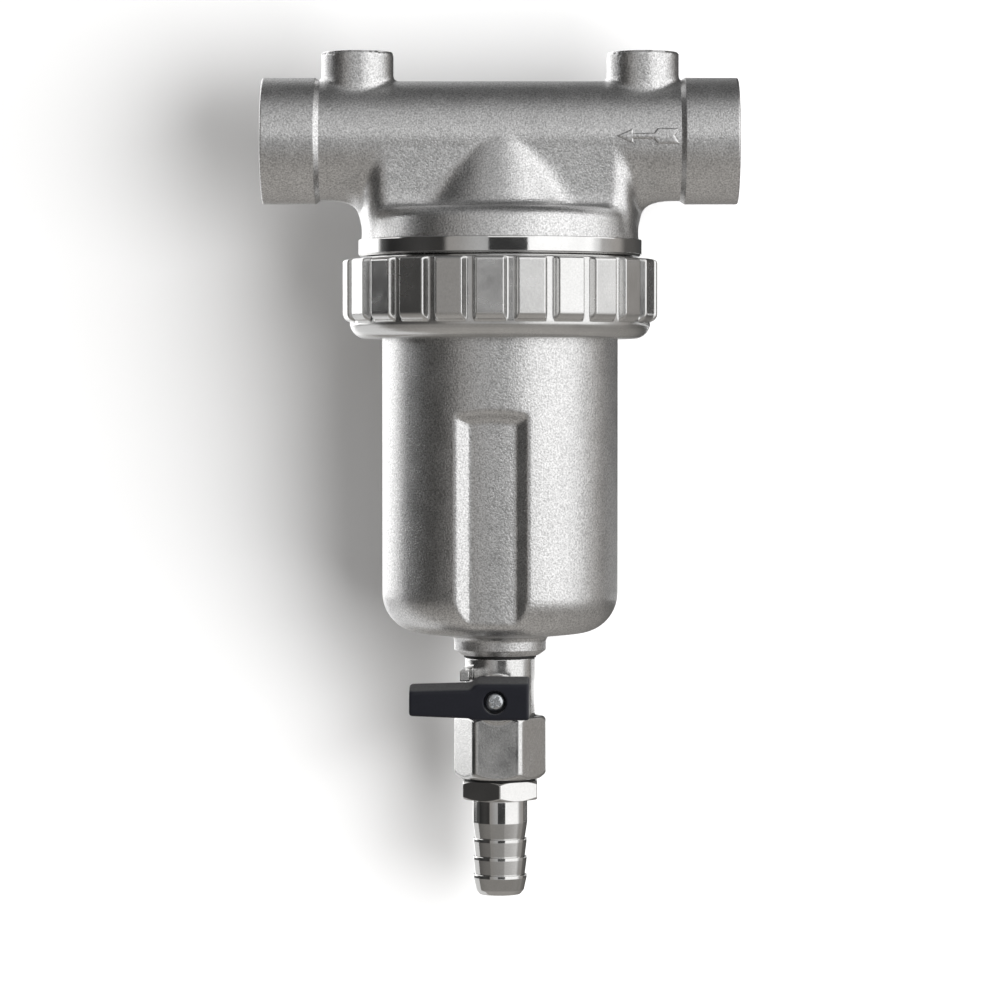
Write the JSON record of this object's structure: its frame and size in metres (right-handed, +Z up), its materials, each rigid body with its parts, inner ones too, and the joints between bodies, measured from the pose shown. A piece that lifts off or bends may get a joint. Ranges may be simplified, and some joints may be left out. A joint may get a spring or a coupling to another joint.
{
  "type": "self cleaning filter",
  "caption": "In-line water filter: threaded pipe head with gauge ports, lock-ring bowl around a mesh cartridge, and a drain ball valve with hose tail at the foot.",
  "frame": {"origin": "centre of the inlet port's mouth, on the pipe axis", "axes": "+X along the pipe axis out of the inlet port, +Z up along the bowl axis, +Y from the lever side to the back"},
  "size_m": [0.128, 0.0848, 0.2271],
  "materials": {
    "cast_nickel": "nickel-plated, bead-blasted casting",
    "nut_nickel": "nickel-plated, satin",
    "valve_nickel": "nickel-plated, satin",
    "tail_nickel": "nickel-plated, polished",
    "bare_brass": "turned",
    "chromed_ball": "polished",
    "wire_cloth": "woven",
    "black_moulding": "matte",
    "seat_white": "smooth",
    "black_rubber": "smooth",
    "zinc_screw": "zinc-plated"
  },
  "bodies": {
    "head": {"head_body": "cast_nickel", "cartridge_top_ring": "black_moulding", "cartridge_seal": "black_rubber", "mesh_cage": "black_moulding", "filter_mesh": "wire_cloth", "cartridge_bottom_ring": "black_moulding"},
    "bowl_unit": {"bowl": "cast_nickel", "bowl_seal": "black_rubber", "drain_gasket": "black_rubber", "valve_body": "valve_nickel", "upper_seat": "seat_white", "lower_seat": "seat_white", "seat_retainer": "bare_brass", "hose_gasket": "black_rubber", "hose_tail": "tail_nickel"},
    "slip_unit": {"slip_ring": "bare_brass"},
    "lock_ring": {"ring_nut": "nut_nickel"},
    "lever_unit": {"ball": "chromed_ball", "valve_stem": "bare_brass", "stem_washer": "seat_white", "stem_seals": "black_rubber", "drain_lever": "black_moulding", "lever_screw": "zinc_screw"}
  },
  "joints": [
    {"name": "bowl_pull", "type": "slide", "parent": "head", "child": "bowl_unit", "axis": [0, 0, -1], "range_m": [0, 0.1]},
    {"name": "nut_travel", "type": "slide", "parent": "bowl_unit", "child": "slip_unit", "axis": [0, 0, -1], "range_m": [0, 0.013]},
    {"name": "ring_turn", "type": "hinge", "parent": "slip_unit", "child": "lock_ring", "pos_m": [-0.064, 0, -0.042], "axis": [0, 0, -1], "range_deg": [0, 2250]},
    {"name": "lever_turn", "type": "hinge", "parent": "bowl_unit", "child": "lever_unit", "pos_m": [-0.064, 0, -0.15], "axis": [-0.0698, -0.9976, 0], "range_deg": [0, 90]}
  ],
  "couplings": [
    {"joint": "nut_travel", "follows": "ring_turn", "m_per_rad": 0.00031831}
  ]
}
